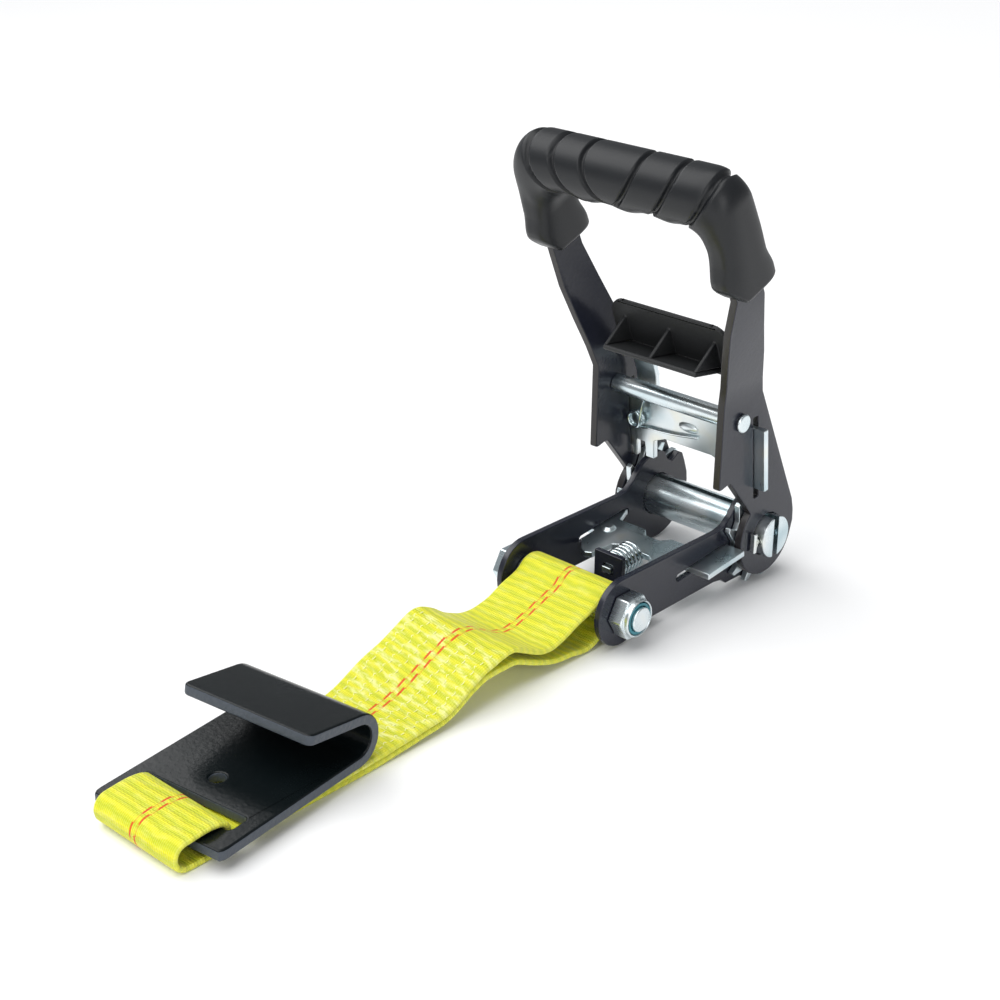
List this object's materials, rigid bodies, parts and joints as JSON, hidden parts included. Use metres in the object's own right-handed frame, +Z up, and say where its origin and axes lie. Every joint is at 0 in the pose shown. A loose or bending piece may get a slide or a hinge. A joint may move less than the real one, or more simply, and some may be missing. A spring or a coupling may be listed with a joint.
{
  "type": "ratchet tie down",
  "caption": "Wide-handled ratchet buckle on a short sewn length of yellow webbing that ends in a flat black hook.",
  "frame": {"origin": "centre of the underside of the bounding box, on the floor that the object lies on", "axes": "+Z up, +X along the webbing from the hook towards the ratchet, +Y across the webbing"},
  "size_m": [0.3726, 0.121, 0.2195],
  "materials": {
    "black_paint": "gloss black powder coat",
    "zinc": "bright bluish zinc plate",
    "spring_steel": "bright zinc-plated spring wire",
    "soft_rubber": "matt soft-touch moulding",
    "matte_plastic": "fine-textured matt moulding",
    "nylon": "blue-green nylon ring",
    "yellow_webbing": "woven polyester with transverse ribs",
    "hook_paint": "black paint with fine orange peel"
  },
  "bodies": {
    "base": {"base_frame": "black_paint", "end_bolt": "zinc", "lock_nut": "zinc", "nut_nylon_ring": "nylon", "bolt_sleeve": "zinc", "base_pawl_spring": "spring_steel"},
    "base_pawl": {"base_pawl": "zinc"},
    "spindle": {"spindle_half_front": "zinc", "spindle_half_rear": "zinc", "ratchet_wheel_left": "zinc", "ratchet_wheel_right": "zinc", "split_pin_left": "spring_steel", "split_pin_right": "spring_steel"},
    "handle": {"handle_side_left": "black_paint", "handle_side_right": "black_paint", "spacer_tube": "zinc", "handle_rivet": "zinc", "grip_rod": "zinc", "handle_grip": "soft_rubber", "hairpin_spring": "spring_steel"},
    "handle_pawl": {"handle_pawl": "zinc", "finger_pull": "matte_plastic"},
    "strap": {"webbing": "yellow_webbing"},
    "hook": {"flat_hook": "hook_paint"}
  },
  "joints": [
    {"name": "spindle_turn", "type": "hinge", "parent": "base", "child": "spindle", "pos_m": [0.16117, 0, 0.02525], "axis": [0, -1, 0], "continuous": true},
    {"name": "handle_pivot", "type": "hinge", "parent": "base", "child": "handle", "pos_m": [0.16117, 0, 0.02525], "axis": [0, -1, 0], "range_deg": [-114, 47]},
    {"name": "base_pawl_slide", "type": "slide", "parent": "base", "child": "base_pawl", "axis": [0.9957, 0, 0.0924], "range_m": [-0.008, 0], "stiffness_N_per_m": 300, "springref_m": 0.01, "deforming": ["base_pawl_spring"]},
    {"name": "handle_pawl_slide", "type": "slide", "parent": "handle", "child": "handle_pawl", "axis": [-0.1115, 0, 0.9938], "range_m": [-0.005, 0.005], "stiffness_N_per_m": 400, "springref_m": 0.0024, "deforming": ["hairpin_spring"]},
    {"name": "strap_swing", "type": "hinge", "parent": "base", "child": "strap", "pos_m": [0.06267, 0, 0.01775], "axis": [0, -1, 0], "range_deg": [-70, 0]},
    {"name": "hook_swing", "type": "hinge", "parent": "strap", "child": "hook", "pos_m": [-0.17163, -0.00164, 0.0084], "axis": [0.1219, -0.9925, 0], "range_deg": [0, 180], "deforming": ["webbing"]}
  ]
}
